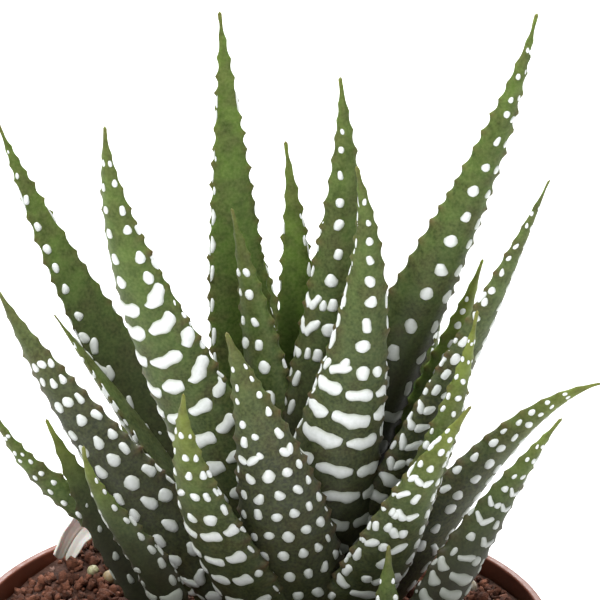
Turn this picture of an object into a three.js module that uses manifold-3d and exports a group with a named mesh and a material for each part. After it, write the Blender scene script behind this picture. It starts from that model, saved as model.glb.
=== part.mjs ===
// A zebra haworthia in a plastic nursery pot: one tall rosette with a pup on each side.
// Millimetres, +Z up. The origin is the centre of the pot's flat underside.
// Seen along +Y, +X is to the right, and the front of the plant faces -Y.

import * as THREE from 'three';
import { mergeVertices } from 'three/addons/utils/BufferGeometryUtils.js';
import Module from 'manifold-3d';

const wasm = await Module();
wasm.setup();

// ---------------------------------------------------------------- driving dimensions

const CLEARANCE = 0.3; // gap between pieces that touch

// Pot: thin moulded plastic with a turned-out lip, an upright collar and a tapered body.
const LIP_RADIUS = 42.5;
const LIP_THICKNESS = 0.9;
const POT_HEIGHT = 75;
const COLLAR_RADIUS = 42.1; // outside
const COLLAR_DEPTH = 12; // from the top of the lip down to the step
const STEP_IN = 1.4; // how far the body steps in below the collar
const FOOT_RADIUS = 29;
const WALL = 0.9;
const FLOOR = 1.6;
const POT_SIDES = 56;
const EDGE_ROUNDING = 0.35; // of the lip's edges and the collar's inner corners
const FOOT_CHAMFER = 1;
const DRAIN_COUNT = 6;
const DRAIN_RADIUS = 3;
const DRAIN_CIRCLE = 20; // radius of the circle the drain holes stand on
const ROUND_SIDES = 14; // of the drain holes and the stems

// Soil
const SOIL_TOP = 72.3;
const SOIL_BUMP = 0.35; // height of the crumbs' swell, a share of it for each of the waves below
const SOIL_WAVES = [ // turn a millimetre along x and y, turn at the centre, share of the height
  { x: 0.42, y: 0.37, start: 1, share: 0.5 },
  { x: 0.42, y: -0.37, start: 1, share: 0.5 },
  { x: 0.9, y: -0.7, start: 0, share: 0.6 },
  { x: -0.3, y: -1.1, start: Math.PI / 2, share: 0.4 },
];
const SOIL_CREST = 2; // the height all waves have together where they meet, in shares
const MOUND = { x: -23, y: 30, height: 3, radius: 9 }; // soil heaped against the pot's back left
const SOIL_SIDES = 44;
const SOIL_RINGS = 7;

// Leaf form, the same for every leaf
const TAPER = 1.65; // how fast the half width grows from the tip
const ROUNDING = 6; // how suddenly the taper turns into parallel margins
const ROOT_PINCH = 0.25; // share of the width lost at the root
const ROOT_LENGTH = 0.08; // of the leaf, over which that happens
const BELLY_TIP = 0.9; // depth of the underside as a share of the half width, at the tip
const BELLY_BASE = 0.58; // and from the middle down
const SHOULDER = 0.56; // where the underside turns, as a share of the half width
const SHOULDER_DEPTH = 0.8; // depth there, as a share of the keel's
const CROWNING = 0.14; // rise of the upper face, as a share of the half width
const TIP_HALF_WIDTH = 0.3;
const BAND_PITCH = 5.4; // from one raised white band to the next
const BAND_HEIGHT = 0.5;
const TOOTH = 0.45; // how far a margin tooth stands out

// Stem form
const STEM_SUNK = 2; // how far the stem's top lies below the youngest leaf's root
const STEM_FOOT = 0.8; // radius at the bottom as a share of the radius at the soil
const STEM_SHOULDER = 1; // depth of the blunt top

// Fertiliser beads and the dead leaf
const BEAD_DETAIL = 1;
const BEAD_RAISED = 0.2; // of the diameter, from the soil's surface to the centre
const DEAD_LEAF_THICKNESS = 0.7;
const DEAD_LEAF_CUP = 0.5; // how far its margins stand in front of its midrib

// ---------------------------------------------------------------- the plant

// Each rosette has its axis at (x, y). Its leaves are rooted on the stem: `tier` runs from 0
// for the youngest, high and close to the axis, to 1 for the oldest, low and wide.
const ROSETTES = {
  main: { x: 6, y: 5, top: 85, foot: 74, inner: 2.2, outer: 8.5, stem: 3.6, buried: 9 },
  left_pup: { x: -13, y: -5, top: 79, foot: 74, inner: 1.6, outer: 5, stem: 2.2, buried: 6 },
  right_pup: { x: 19, y: -13, top: 78, foot: 74, inner: 1.4, outer: 4.5, stem: 2, buried: 6 },
};

// side: compass angle round the stem that the leaf's underside faces, counter-clockwise from +X.
// tip: where the point is. width: at the widest; taper: how fast the half width grows from the
// tip, for a leaf that is slimmer at the top than the others.
// bow: push away from the stem at a third and at two thirds of the leaf; sway: the same sideways;
// lift: the same upwards, on the few leaves that arch; face: where the underside of a leaf that
// is twisted on its root faces instead.
// The youngest come first: an older leaf gives way to a younger one where they crowd.
const LEAVES = {
  main: [
    { side: 30, tier: 0, tip: [9, 7, 116], width: 6, bow: [0, 0], sway: [0, 0] },
    { side: -160, tier: 0, tip: [4, 6, 112], width: 6, bow: [0, 0], sway: [0, 0] },
    { side: 90, tier: 0.05, tip: [3.7, 12, 146], width: 8, bow: [0, 0], sway: [0, -2] },
    { side: -112, tier: 0.1, tip: [-4, 6, 138], width: 9, bow: [0, 0], sway: [1, 1.5] },
    { side: -85, tier: 0.2, tip: [11.5, 6, 158], width: 12, bow: [2, 0], sway: [0, 4.3] },
    { side: 100, tier: 0.25, tip: [-5.7, 14, 165], width: 10.5, bow: [0, 0], sway: [7, 0.9] },
    { side: -60, tier: 0.3, tip: [39.2, 2, 169], width: 10.6, bow: [-5, 5], sway: [-4.8, 1.2], face: -84 },
    { side: -72, tier: 0.4, tip: [13.7, -6, 149], width: 16, bow: [3, 4], sway: [-2.4, 6.9], face: -88,
      taper: 1.25 },
    { side: -115, tier: 0.45, tip: [-21.6, -6, 155], width: 14.2, bow: [2, 4], sway: [3, -7.4] },
    { side: 140, tier: 0.5, tip: [-38, 22, 145], width: 9, bow: [7, 5], sway: [1.3, 1.3], face: 118 },
    { side: -45, tier: 0.55, tip: [41, -6, 147], width: 9.6, bow: [-0.2, 0.6], sway: [0.6, 0.6] },
    { side: 60, tier: 0.5, tip: [12, 26, 128], width: 11, bow: [3, 3], sway: [0, 0] },
    { side: 25, tier: 0.55, tip: [27, 20, 128], width: 11, bow: [3, 3], sway: [0, 0] },
    { side: 130, tier: 0.6, tip: [-19, 24, 122], width: 10, bow: [4, 5], sway: [0, 0] },
    { side: 10, tier: 0.65, tip: [32, 4, 131], width: 10, bow: [1, 1], sway: [0, 0], face: -60 },
    { side: 98, tier: 0.65, tip: [-3, 30, 133], width: 11, bow: [3, 3], sway: [0, 0] },
    { side: -88, tier: 0.7, tip: [-4.6, -14, 127], width: 14, bow: [4, 4], sway: [2, 2] },
    { side: -140, tier: 0.75, tip: [-38, 6, 126], width: 10.5, bow: [4.5, 5], sway: [1.2, 0.8], face: -108 },
    { side: -55, tier: 0.8, tip: [30, -17, 117], width: 10.7, bow: [4, 1.5], sway: [0, -5], face: -68 },
    { side: 165, tier: 0.8, tip: [-30.1, 16, 117.6], width: 8, bow: [-2, -1], sway: [0, 0] },
    { side: -118, tier: 0.85, tip: [-10.5, -22, 121], width: 11, bow: [3, 4], sway: [-1, -4] },
    { side: 70, tier: 0.85, tip: [20, 32, 108], width: 10, bow: [3, 4], sway: [0, 0] },
    { side: -45, tier: 0.85, tip: [49, -4, 115], width: 11.8, bow: [-3, -5], sway: [0, 0], lift: [-4.3, 8] },
    { side: 140, tier: 0.9, tip: [-22, 30, 99], width: 10, bow: [3, 4], sway: [0, 0] },
    { side: 35, tier: 0.9, tip: [36, 20, 97], width: 10, bow: [2, 4], sway: [0, 0] },
    { side: 108, tier: 0.95, tip: [-2, 36, 103], width: 10, bow: [3, 4], sway: [0, 0] },
    { side: -30, tier: 0.9, tip: [30.8, -12, 129.5], width: 7, bow: [2, 4], sway: [0, 0], face: -68 },
    { side: -175, tier: 0.95, tip: [-38.5, 2, 109], width: 7.2, bow: [-4, 7], sway: [0.8, 0.8],
      lift: [1.6, -5.5], face: -100 },
    { side: -88, tier: 1, tip: [8, -30, 88], width: 10, bow: [3, 4], sway: [0, 0] },
  ],
  left_pup: [
    { side: 120, tier: 0.1, tip: [-30.8, 1, 107.4], width: 6, bow: [0, 0], sway: [1.1, 1.1] },
    { side: -110, tier: 0.3, tip: [-24.9, -14, 109.6], width: 6.1, bow: [-1, 3.6], sway: [8.8, -2.3] },
    { side: -150, tier: 0.8, tip: [-32, -22, 85], width: 8, bow: [1, 2], sway: [0, 0] },
    { side: -75, tier: 0.9, tip: [-10, -33, 91], width: 8, bow: [1, 2], sway: [0, 0] },
  ],
  right_pup: [
    { side: -100, tier: 0.95, tip: [18.4, -18, 96], width: 5, bow: [1, 1], sway: [0, 0] },
    { side: -30, tier: 0.3, tip: [43, -12, 113], width: 7.8, bow: [-1.6, -2.4], sway: [0, 0], face: -68 },
    { side: 35, tier: 0.5, tip: [27, -2, 88], width: 8, bow: [1, 2], sway: [0, 0], face: -60 },
    { side: -60, tier: 0.8, tip: [34, -28, 90], width: 7, bow: [1, 2], sway: [0, 0] },
    { side: -130, tier: 0.9, tip: [13, -34, 88], width: 7, bow: [1, 2], sway: [0, 0] },
  ],
};

// Slow-release fertiliser beads lying in the soil: centre and diameter.
const BEADS = [
  { x: -21.5, y: 25, diameter: 2.3 },
  { x: -25, y: 22, diameter: 1.8 },
  { x: -22.5, y: 20.5, diameter: 2.1 },
  { x: 31, y: 18, diameter: 2.2 },
];

// One dead, papery leaf, standing at the pot's wall.
const DEAD_LEAF = [[-29.6, 24.4, 74.6], [-28.4, 25, 77.2], [-26.8, 26, 79.2], [-24.8, 27, 80.4]];
const DEAD_LEAF_WIDTHS = [3.2, 3.8, 4.4, 3.4];
const DEAD_LEAF_FACING = [0.3, -1, 0.2]; // where its hollow side looks

// ---------------------------------------------------------------- helpers

const radians = THREE.MathUtils.degToRad;

/** A finish with the sRGB colour, roughness and metalness of the real surface. */
function finish(color, roughness) {
  return new THREE.MeshStandardMaterial({ color, roughness, metalness: 0 });
}

/** Closed geometry from a list of points and a list of index triples. */
function solidGeometry(points, triples) {
  const geometry = new THREE.BufferGeometry();
  geometry.setAttribute('position', new THREE.Float32BufferAttribute(points.flat(), 3));
  geometry.setIndex(triples.flat());
  return geometry;
}

/** The same geometry as a solid that can be joined and cut. */
function toSolid(geometry) {
  const bare = geometry.clone();
  bare.deleteAttribute('normal');
  bare.deleteAttribute('uv');
  const merged = mergeVertices(bare, 1e-4);
  return new wasm.Manifold(new wasm.Mesh({
    numProp: 3,
    vertProperties: new Float32Array(merged.attributes.position.array),
    triVerts: new Uint32Array(merged.index.array),
  }));
}

/** Geometry with flat normals from a solid. */
function fromSolid(solid) {
  const mesh = solid.getMesh();
  const geometry = new THREE.BufferGeometry();
  geometry.setAttribute('position', new THREE.BufferAttribute(mesh.vertProperties, 3));
  geometry.setIndex(new THREE.BufferAttribute(mesh.triVerts, 1));
  geometry.computeVertexNormals();
  return geometry;
}

/** The largest body of a solid: a cut can leave loose scraps, which are dropped. */
function largestBody(solid) {
  const bodies = solid.decompose();
  return bodies.reduce((best, body) => (body.volume() > best.volume() ? body : best));
}

/** Triangles that join rings of equal size into a tube, with a fan at each end. */
function loftTriples(rings, sides, firstCap, lastCap) {
  const triples = [];
  for (let ring = 0; ring + 1 < rings; ring += 1) {
    for (let side = 0; side < sides; side += 1) {
      const next = (side + 1) % sides;
      const a = ring * sides + side;
      const b = ring * sides + next;
      const c = a + sides;
      const d = b + sides;
      triples.push([a, b, d], [a, d, c]);
    }
  }
  const last = (rings - 1) * sides;
  for (let side = 0; side < sides; side += 1) {
    const next = (side + 1) % sides;
    triples.push([next, side, firstCap], [last + side, last + next, lastCap]);
  }
  return triples;
}

// ---------------------------------------------------------------- leaves

/** The level direction at a compass angle given in degrees. */
function compass(degrees) {
  return new THREE.Vector3(Math.cos(radians(degrees)), Math.sin(radians(degrees)), 0);
}

/** The leaf's centreline: a cubic from its root on the stem to its tip, bowed and swayed. */
function centreline(rosette, leaf) {
  const away = compass(leaf.side);
  const across = new THREE.Vector3(-away.y, away.x, 0);
  const up = new THREE.Vector3(0, 0, 1);
  const lift = leaf.lift ?? [0, 0];
  const radius = rosette.inner + (rosette.outer - rosette.inner) * leaf.tier;
  const root = new THREE.Vector3(rosette.x, rosette.y, 0).addScaledVector(away, radius);
  root.z = rosette.top + (rosette.foot - rosette.top) * leaf.tier;
  const tip = new THREE.Vector3(...leaf.tip);
  const handle = (share, index) => root.clone().lerp(tip, share)
    .addScaledVector(away, leaf.bow[index])
    .addScaledVector(across, leaf.sway[index])
    .addScaledVector(up, lift[index]);
  return new THREE.CubicBezierCurve3(root, handle(1 / 3, 0), handle(2 / 3, 1), tip);
}

/** Half the leaf's width at share t of its length, from a pinched root to a long point. */
function halfWidth(leaf, t) {
  const rise = (leaf.taper ?? TAPER) * (1 - t);
  const taper = rise / (1 + rise ** ROUNDING) ** (1 / ROUNDING);
  const pinch = 1 - ROOT_PINCH * Math.exp(-((t / ROOT_LENGTH) ** 2));
  return Math.max(TIP_HALF_WIDTH, (leaf.width / 2) * taper * pinch);
}

/**
 * One leaf as a closed loft. Its section has two margins, a keeled underside of three points and
 * a gently raised upper face. Every other station is a crest: there the underside is lifted into
 * a band and the margins stand out as teeth. `swell` grows the leaf evenly all round.
 */
function leafGeometry(rosette, leaf, stations, relief, swell) {
  const curve = centreline(rosette, leaf);
  const facing = compass(leaf.face ?? leaf.side);
  const points = [];
  for (let station = 0; station < stations; station += 1) {
    const t = station / stations;
    const centre = curve.getPoint(t);
    const along = curve.getTangent(t);
    const under = facing.clone().addScaledVector(along, -facing.dot(along)).normalize();
    const across = new THREE.Vector3().crossVectors(under, along);
    const crest = station % 2 === 1 ? relief : 0;
    const half = halfWidth(leaf, t);
    const margin = half + crest * TOOTH + swell;
    const share = BELLY_BASE + (BELLY_TIP - BELLY_BASE) * Math.max(0, 2 * t - 1);
    const belly = half * share + crest * BAND_HEIGHT + swell;
    const section = [
      [margin, 0],
      [margin * SHOULDER, belly * SHOULDER_DEPTH],
      [0, belly],
      [-margin * SHOULDER, belly * SHOULDER_DEPTH],
      [-margin, 0],
      [0, -half * CROWNING - swell],
    ];
    section.forEach(([sideways, down]) => {
      const point = centre.clone().addScaledVector(across, sideways).addScaledVector(under, down);
      points.push(point.toArray());
    });
  }
  const sides = 6;
  const start = curve.getPoint(0).addScaledVector(curve.getTangent(0), -swell);
  const end = curve.getPoint(1).addScaledVector(curve.getTangent(1), swell);
  points.push(start.toArray(), end.toArray());
  const root = stations * sides;
  return solidGeometry(points, loftTriples(stations, sides, root, root + 1));
}

/** A banded leaf with an odd number of stations, about one crest for each band pitch. */
function bandedLeaf(rosette, leaf) {
  const length = centreline(rosette, leaf).getLength();
  const stations = 2 * Math.round(length / BAND_PITCH) + 1;
  return toSolid(leafGeometry(rosette, leaf, stations, 1, 0));
}

/** The room that a leaf takes up, teeth and bands included, with the clearance round it. */
function leafRoom(rosette, leaf) {
  const stations = 10;
  return toSolid(leafGeometry(rosette, leaf, stations, 0, Math.max(TOOTH, BAND_HEIGHT) + CLEARANCE));
}

// ---------------------------------------------------------------- stems, pot and soil

/** A turned solid from [radius, height] points that start and end on the axis. */
function turned(profile, sides) {
  const points = profile.map(([radius, height]) => new THREE.Vector2(radius, height));
  return new THREE.LatheGeometry(points, sides).rotateX(Math.PI / 2);
}

/** A rosette's short stem, grown by `swell`: a blunt cone that stands in the soil. */
function stemSolid(rosette, swell) {
  const bottom = SOIL_TOP - rosette.buried - swell;
  const top = rosette.top - STEM_SUNK + swell;
  const profile = [
    [0, bottom],
    [rosette.stem * STEM_FOOT + swell, bottom],
    [rosette.stem + swell, SOIL_TOP],
    [rosette.stem / 2 + swell, top - STEM_SHOULDER],
    [0, top],
  ];
  return toSolid(turned(profile, ROUND_SIDES).translate(rosette.x, rosette.y, 0));
}

/** The pot: lip, collar, step, tapered wall and flat floor with drain holes. */
function potSolid() {
  const stepHeight = POT_HEIGHT - COLLAR_DEPTH;
  const shoulder = COLLAR_RADIUS - STEP_IN;
  const inside = COLLAR_RADIUS - WALL;
  const lipUnderside = POT_HEIGHT - LIP_THICKNESS;
  const profile = [
    [0, 0],
    [FOOT_RADIUS - FOOT_CHAMFER, 0],
    [FOOT_RADIUS, FOOT_CHAMFER],
    [shoulder, stepHeight - STEP_IN],
    [COLLAR_RADIUS, stepHeight],
    [COLLAR_RADIUS, lipUnderside],
    [LIP_RADIUS - EDGE_ROUNDING, lipUnderside],
    [LIP_RADIUS, POT_HEIGHT - LIP_THICKNESS / 2],
    [LIP_RADIUS - EDGE_ROUNDING, POT_HEIGHT],
    [inside + EDGE_ROUNDING, POT_HEIGHT],
    [inside, POT_HEIGHT - EDGE_ROUNDING],
    [inside, stepHeight + EDGE_ROUNDING],
    [shoulder - WALL, stepHeight - STEP_IN + EDGE_ROUNDING],
    [FOOT_RADIUS - WALL, FLOOR],
    [0, FLOOR],
  ];
  let pot = toSolid(turned(profile, POT_SIDES));
  for (let hole = 0; hole < DRAIN_COUNT; hole += 1) {
    const angle = (hole / DRAIN_COUNT) * 2 * Math.PI;
    const drill = new THREE.CylinderGeometry(DRAIN_RADIUS, DRAIN_RADIUS, FLOOR * 4, ROUND_SIDES)
      .rotateX(Math.PI / 2)
      .translate(DRAIN_CIRCLE * Math.cos(angle), DRAIN_CIRCLE * Math.sin(angle), 0);
    pot = pot.subtract(toSolid(drill));
  }
  return pot;
}

/** Height of the soil's surface at a point: the crossed waves, and the mound. */
function soilHeight(x, y) {
  const swell = SOIL_WAVES.reduce(
    (sum, wave) => sum + wave.share * Math.sin(x * wave.x + y * wave.y + wave.start), 0);
  const away = Math.hypot(x - MOUND.x, y - MOUND.y) / MOUND.radius;
  return SOIL_TOP + SOIL_BUMP * swell + MOUND.height * Math.exp(-(away ** 2));
}

/** The soil, filling the pot from its floor to just below the lip, with a bumpy top. */
function soilSolid() {
  const stepHeight = POT_HEIGHT - COLLAR_DEPTH;
  const wallRadius = COLLAR_RADIUS - WALL - CLEARANCE;
  const shoulder = wallRadius - STEP_IN;
  const levels = [
    [FOOT_RADIUS - WALL - 2 * CLEARANCE, FLOOR + CLEARANCE],
    [shoulder, stepHeight - STEP_IN],
    [wallRadius, stepHeight + STEP_IN],
  ];
  const points = [];
  levels.forEach(([radius, height]) => {
    for (let side = 0; side < SOIL_SIDES; side += 1) {
      const angle = (side / SOIL_SIDES) * 2 * Math.PI;
      points.push([radius * Math.cos(angle), radius * Math.sin(angle), height]);
    }
  });
  for (let ring = 0; ring < SOIL_RINGS; ring += 1) {
    const radius = wallRadius * (1 - ring / SOIL_RINGS);
    for (let side = 0; side < SOIL_SIDES; side += 1) {
      const angle = (side / SOIL_SIDES) * 2 * Math.PI;
      const x = radius * Math.cos(angle);
      const y = radius * Math.sin(angle);
      points.push([x, y, soilHeight(x, y)]);
    }
  }
  const rings = levels.length + SOIL_RINGS;
  points.push([0, 0, FLOOR + CLEARANCE], [0, 0, soilHeight(0, 0)]);
  const bottom = rings * SOIL_SIDES;
  return toSolid(solidGeometry(points, loftTriples(rings, SOIL_SIDES, bottom, bottom + 1)));
}

/** The ground that leaves stay above: a slab up to the soil's highest crumbs. */
function groundRoom() {
  const top = SOIL_TOP + SOIL_BUMP * SOIL_CREST + CLEARANCE;
  const depth = top - FLOOR;
  const slab = new THREE.BoxGeometry(2 * LIP_RADIUS, 2 * LIP_RADIUS, depth);
  return toSolid(slab.translate(0, 0, top - depth / 2));
}

/** A bead of the given radius, sunk in the soil to above its middle. */
function beadSolid(bead, radius) {
  const height = soilHeight(bead.x, bead.y) + bead.diameter * BEAD_RAISED;
  const centre = [bead.x, bead.y, height];
  return toSolid(new THREE.IcosahedronGeometry(radius, BEAD_DETAIL).translate(...centre));
}

/** The dead leaf, grown by `swell`: a thin cupped strip lofted along its bent midrib. */
function deadLeafSolid(swell) {
  const curve = new THREE.CatmullRomCurve3(DEAD_LEAF.map((point) => new THREE.Vector3(...point)));
  const facing = new THREE.Vector3(...DEAD_LEAF_FACING).normalize();
  const stations = 8;
  const points = [];
  for (let station = 0; station < stations; station += 1) {
    const t = station / (stations - 1);
    const centre = curve.getPoint(t);
    const along = curve.getTangent(t);
    const front = facing.clone().addScaledVector(along, -facing.dot(along)).normalize();
    const across = new THREE.Vector3().crossVectors(front, along);
    const place = t * (DEAD_LEAF_WIDTHS.length - 1);
    const index = Math.min(Math.floor(place), DEAD_LEAF_WIDTHS.length - 2);
    const width = THREE.MathUtils.lerp(
      DEAD_LEAF_WIDTHS[index], DEAD_LEAF_WIDTHS[index + 1], place - index);
    const half = width / 2 + swell;
    const skin = DEAD_LEAF_THICKNESS / 2 + swell;
    const section = [
      [half, DEAD_LEAF_CUP - swell],
      [half, DEAD_LEAF_CUP + skin],
      [0, skin],
      [-half, DEAD_LEAF_CUP + skin],
      [-half, DEAD_LEAF_CUP - swell],
      [0, -skin],
    ];
    section.forEach(([sideways, forward]) => {
      const point = centre.clone()
        .addScaledVector(across, sideways)
        .addScaledVector(front, forward);
      points.push(point.toArray());
    });
  }
  const sides = 6;
  const start = curve.getPoint(0).addScaledVector(curve.getTangent(0), -swell);
  const end = curve.getPoint(1).addScaledVector(curve.getTangent(1), swell);
  points.push(start.toArray(), end.toArray());
  const root = stations * sides;
  return toSolid(solidGeometry(points, loftTriples(stations, sides, root, root + 1)));
}

// ---------------------------------------------------------------- assembly

const finishes = {
  leaf: finish(0x55702f, 0.55),
  stem: finish(0x8a8a5a, 0.8),
  pot: finish(0x7a4632, 0.45),
  soil: finish(0x4a2b1e, 1),
  bead: finish(0xa8a67d, 0.5),
  dead: finish(0xdedccf, 0.9),
};

const plant = new THREE.Group();

/** Adds one piece as a named mesh. */
function addPiece(name, solid, material) {
  const mesh = new THREE.Mesh(fromSolid(solid), material);
  mesh.name = name;
  plant.add(mesh);
}

// The space already taken: the ground under the leaves, the stems and the younger leaves.
const rooms = [groundRoom()];
let soil = soilSolid();
for (const [name, rosette] of Object.entries(ROSETTES)) {
  addPiece(`${name}_stem`, stemSolid(rosette, 0), finishes.stem);
  const room = stemSolid(rosette, CLEARANCE);
  rooms.push(room);
  soil = soil.subtract(room);
}

BEADS.forEach((bead, index) => {
  const radius = bead.diameter / 2;
  addPiece(`fertiliser_bead_${index + 1}`, beadSolid(bead, radius), finishes.bead);
  soil = soil.subtract(beadSolid(bead, radius + CLEARANCE));
});

for (const [name, rosette] of Object.entries(ROSETTES)) {
  LEAVES[name].forEach((leaf, index) => {
    let solid = bandedLeaf(rosette, leaf);
    rooms.forEach((room) => {
      solid = solid.subtract(room);
    });
    const number = String(index + 1).padStart(2, '0');
    addPiece(`${name}_leaf_${number}`, largestBody(solid), finishes.leaf);
    rooms.push(leafRoom(rosette, leaf));
  });
}

addPiece('dead_leaf', deadLeafSolid(0), finishes.dead);
soil = soil.subtract(deadLeafSolid(CLEARANCE));
addPiece('soil', largestBody(soil), finishes.soil);
addPiece('pot', potSolid(), finishes.pot);

export default plant;
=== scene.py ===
# %% [markdown]
# # A potted zebra haworthia
# The plant is a tall rosette of pointed leaves with a pup on each side, standing in a thin
# plastic nursery pot. What makes it that plant is its skin: green, slightly rough leaves that
# carry raised white pearls, which run together into bands lower down, and margins set with
# tiny teeth. The frame already holds every piece at its real size. This script works out the
# fine surface of each piece with numpy and gives each one a procedural finish.

# %% Load the fixed frame
import math

import bpy
import numpy as np
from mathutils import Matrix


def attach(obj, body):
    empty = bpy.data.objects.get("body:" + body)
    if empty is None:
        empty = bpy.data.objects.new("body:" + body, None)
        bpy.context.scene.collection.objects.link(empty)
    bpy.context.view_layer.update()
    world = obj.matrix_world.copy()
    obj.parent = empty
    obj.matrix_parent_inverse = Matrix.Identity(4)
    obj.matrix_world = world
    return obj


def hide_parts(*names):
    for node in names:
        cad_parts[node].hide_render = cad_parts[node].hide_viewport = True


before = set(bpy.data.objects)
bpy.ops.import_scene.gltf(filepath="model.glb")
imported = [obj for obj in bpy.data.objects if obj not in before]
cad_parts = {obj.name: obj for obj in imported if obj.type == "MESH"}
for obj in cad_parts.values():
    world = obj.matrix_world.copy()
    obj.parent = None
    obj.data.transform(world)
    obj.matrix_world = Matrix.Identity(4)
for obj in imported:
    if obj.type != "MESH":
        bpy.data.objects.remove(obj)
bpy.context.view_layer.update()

# %% [markdown]
# ## Camera, floor and light
# The photograph looks slightly down on the plant from straight in front, through a long lens,
# against white. A long lens far away keeps the leaves in proportion. Two broad soft lamps and
# a bright surrounding give the even light of a product picture. The shade gathers only between
# the leaves, as it does there, partly from that light and partly painted onto the leaves low in
# the rosette.

# %% Camera
MM = 0.001
VIEW_CENTRE = np.array([5.8, 0, 126.2]) * MM  # the point of the plant in the middle of the image
VIEW_WIDTH = 85.7 * MM  # how much of the plant the image is wide
VIEW_ELEVATION = math.radians(22)
LENS = 400
SENSOR = 36

camera_data = bpy.data.cameras.new("camera")
camera_data.lens = LENS
camera_data.sensor_width = SENSOR
camera = bpy.data.objects.new("camera", camera_data)
distance = VIEW_WIDTH * LENS / SENSOR
camera.location = (
    VIEW_CENTRE[0],
    VIEW_CENTRE[1] - distance * math.cos(VIEW_ELEVATION),
    VIEW_CENTRE[2] + distance * math.sin(VIEW_ELEVATION),
)
camera.rotation_euler = (math.pi / 2 - VIEW_ELEVATION, 0, 0)
camera_data.clip_start = 0.01
camera_data.clip_end = 50
bpy.context.scene.collection.objects.link(camera)
bpy.context.scene.camera = camera
bpy.context.scene.view_settings.view_transform = "Standard"
print("camera distance in m:", round(distance, 3))


# %% Colours and shader nodes
def linear(hex_colour):
    """The sRGB colour 0xRRGGBB as linear red, green, blue and alpha: each channel c is
    c / 12.92 below 0.04045 and ((c + 0.055) / 1.055) ** 2.4 above it."""
    channels = [(hex_colour >> shift & 255) / 255 for shift in (16, 8, 0)]
    return [c / 12.92 if c < 0.04045 else ((c + 0.055) / 1.055) ** 2.4 for c in channels] + [1]


def feed(tree, node, inputs):
    """Sets a shader node's sockets. `inputs` maps a socket's name or number to a value, or to
    the output that feeds it."""
    for socket, value in dict(inputs).items():
        if isinstance(value, bpy.types.NodeSocket):
            tree.links.new(value, node.inputs[socket])
        else:
            node.inputs[socket].default_value = value


def add_node(tree, kind, inputs=(), **settings):
    """Adds a shader node. `settings` are its own properties, `inputs` goes to its sockets."""
    made = tree.nodes.new("ShaderNode" + kind)
    for name, value in settings.items():
        setattr(made, name, value)
    feed(tree, made, inputs)
    return made


def new_material(name, roughness, ior):
    """A material that holds a Principled shader and its output. Returns the material, its
    node tree and the shader."""
    made = bpy.data.materials.new(name)
    made.use_nodes = True
    tree = made.node_tree
    shader = tree.nodes["Principled BSDF"]
    feed(tree, shader, {"Roughness": roughness, "IOR": ior})
    return made, tree, shader


MIX_FACTOR, MIX_A, MIX_B = 0, 6, 7  # the colour sockets of a Mix node
MIX_RESULT = 2


def layered(tree, first, *layers):
    """Colours laid one over another, from the first hex colour up. A layer is how strongly it
    covers, then its hex colour, and its way of blending if it isn't plain. The cover is a value,
    an output, or the name of a number that the mesh carries at each of its points."""
    colour = linear(first)
    for cover, hex_colour, *blend in layers:
        if isinstance(cover, str):
            cover = add_node(tree, "Attribute", attribute_name=cover).outputs["Fac"]
        inputs = {MIX_FACTOR: cover, MIX_A: colour, MIX_B: linear(hex_colour)}
        settings = dict(data_type="RGBA", blend_type=(*blend, "MIX")[0])
        colour = add_node(tree, "Mix", inputs, **settings).outputs[MIX_RESULT]
    return colour


def noise_of(tree, size_mm, detail):
    """Noise in Object coordinates whose features are about size_mm wide: a frequency of 1 over
    the size in metres."""
    place = add_node(tree, "TexCoord").outputs["Object"]
    inputs = {"Vector": place, "Scale": 1 / (size_mm * MM), "Detail": detail}
    return add_node(tree, "TexNoise", inputs).outputs["Fac"]


def patches(tree, size_mm, detail, low, high, most=1):
    """Soft patches about size_mm wide: 0 where the noise is under low, and up to `most` in
    proportion where it is over that, all of it from high on."""
    inputs = {"From Min": low, "From Max": high, "To Max": most}
    inputs["Value"] = noise_of(tree, size_mm, detail)
    return add_node(tree, "MapRange", inputs).outputs["Result"]


def bumps(tree, size_mm, detail, strength, height_mm):
    """The normal of a surface with noise bumps about size_mm wide and height_mm high."""
    inputs = {"Strength": strength, "Distance": height_mm * MM}
    inputs["Height"] = noise_of(tree, size_mm, detail)
    return add_node(tree, "Bump", inputs).outputs["Normal"]


# %% Floor, lamps and surroundings
FLOOR_WIDTH = 8
LAMPS = {  # place in m, what it is aimed at in m, size in m, watts
    "key": ((-0.55, -0.4, 0.95), (0, 0, 0.12), 0.35, 9),
    "fill": ((0.5, -0.9, 0.3), (0, 0, 0.12), 0.6, 2.6),
    "top": ((0.15, 0.15, 1.1), (0, 0, 0.12), 0.4, 8),
    "floor_light": ((0, 1.5, 1.3), (0, 0.7, 0), 1, 42),
}
WORLD_STRENGTH = 0.24

half = FLOOR_WIDTH / 2
floor_mesh = bpy.data.meshes.new("floor")
corners = [(-half, -half, 0), (half, -half, 0), (half, half, 0), (-half, half, 0)]
floor_mesh.from_pydata(corners, [], [(0, 1, 2, 3)])
floor = bpy.data.objects.new("floor", floor_mesh)
bpy.context.scene.collection.objects.link(floor)

# Matt white board: it scatters nearly all light and shows no reflection.
board, tree, shader = new_material("white_board", 0.9, 1.45)
feed(tree, shader, {"Base Color": linear(0xF7F7F7)})
floor_mesh.materials.append(board)

for name, (place, target, size, watts) in LAMPS.items():
    lamp_data = bpy.data.lights.new(name, "AREA")
    lamp_data.energy = watts
    lamp_data.size = size
    lamp = bpy.data.objects.new(name, lamp_data)
    lamp.location = place
    direction = np.array(place) - target
    lamp.rotation_euler = (
        math.atan2(math.hypot(direction[0], direction[1]), direction[2]),
        0,
        math.atan2(direction[0], -direction[1]),
    )
    bpy.context.scene.collection.objects.link(lamp)

world = bpy.data.worlds.new("white_room")
world.use_nodes = True
background = world.node_tree.nodes["Background"]
feed(world.node_tree, background, {"Color": linear(0xFFFFFF), "Strength": WORLD_STRENGTH})
bpy.context.scene.world = world


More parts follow.
